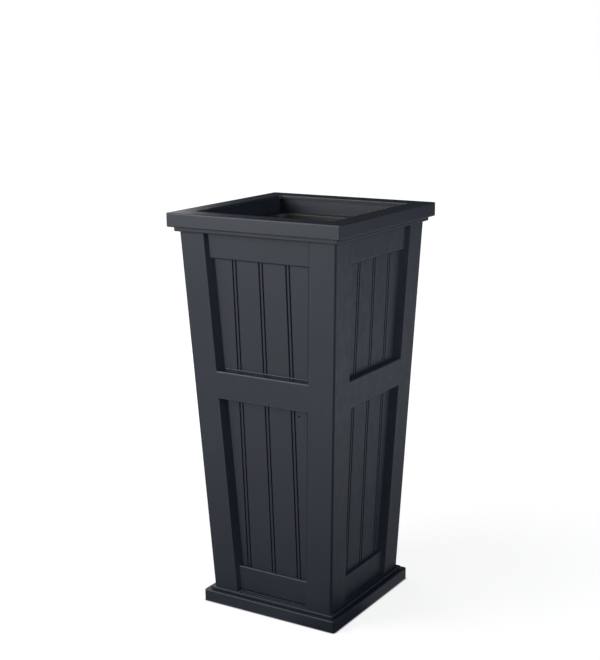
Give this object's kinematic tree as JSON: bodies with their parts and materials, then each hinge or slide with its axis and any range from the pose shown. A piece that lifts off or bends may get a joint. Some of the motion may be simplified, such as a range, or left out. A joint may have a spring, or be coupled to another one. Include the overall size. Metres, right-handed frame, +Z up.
{
  "type": "planter",
  "caption": "Tall tapered square floor planter with framed beadboard sides, a moulded cap and plinth, an inner frame and a lift-out liner.",
  "frame": {"origin": "on the ground, under the centre of the planter", "axes": "+Z up, -Y towards the front side, +X towards the right side as seen from the front"},
  "size_m": [0.385, 0.385, 0.813],
  "materials": {
    "shell": "satin dark slate moulded board with softly eased edges",
    "beadboard": "satin dark slate moulded board with beaded grooves",
    "floor_board": "plain dark board, unfinished underside",
    "frame_timber": "sawn treated softwood, unpainted",
    "liner_plastic": "fine-textured black moulded plastic",
    "rubber": "matt black rubber",
    "screw_steel": "plain stainless screws"
  },
  "bodies": {
    "planter": {"front_left_stile": "shell", "front_right_stile": "shell", "right_left_stile": "shell", "right_right_stile": "shell", "back_left_stile": "shell", "back_right_stile": "shell", "left_left_stile": "shell", "left_right_stile": "shell", "front_top_rail": "shell", "right_top_rail": "shell", "back_top_rail": "shell", "left_top_rail": "shell", "front_mid_rail": "shell", "right_mid_rail": "shell", "back_mid_rail": "shell", "left_mid_rail": "shell", "front_bottom_rail": "shell", "right_bottom_rail": "shell", "back_bottom_rail": "shell", "left_bottom_rail": "shell", "front_upper_panel": "beadboard", "right_upper_panel": "beadboard", "back_upper_panel": "beadboard", "left_upper_panel": "beadboard", "front_lower_panel": "beadboard", "right_lower_panel": "beadboard", "back_lower_panel": "beadboard", "left_lower_panel": "beadboard", "front_right_post": "frame_timber", "back_right_post": "frame_timber", "back_left_post": "frame_timber", "front_left_post": "frame_timber", "front_cleat": "frame_timber", "right_cleat": "frame_timber", "back_cleat": "frame_timber", "left_cleat": "frame_timber", "cap": "shell", "cap_moulding": "shell", "plinth_band": "shell", "plinth_moulding": "shell", "floor_panel": "floor_board", "foot_pads": "rubber", "post_screws": "screw_steel", "cleat_screws": "screw_steel", "floor_screws": "screw_steel"},
    "liner": {"liner": "liner_plastic"},
    "drain_plug": {"drain_plug": "rubber"}
  },
  "joints": [
    {"name": "liner_lift", "type": "slide", "parent": "planter", "child": "liner", "axis": [0, 0, 1], "range_m": [0, 0.45]},
    {"name": "plug_pull", "type": "slide", "parent": "liner", "child": "drain_plug", "axis": [0, 0, -1], "range_m": [0, 0.025]}
  ]
}
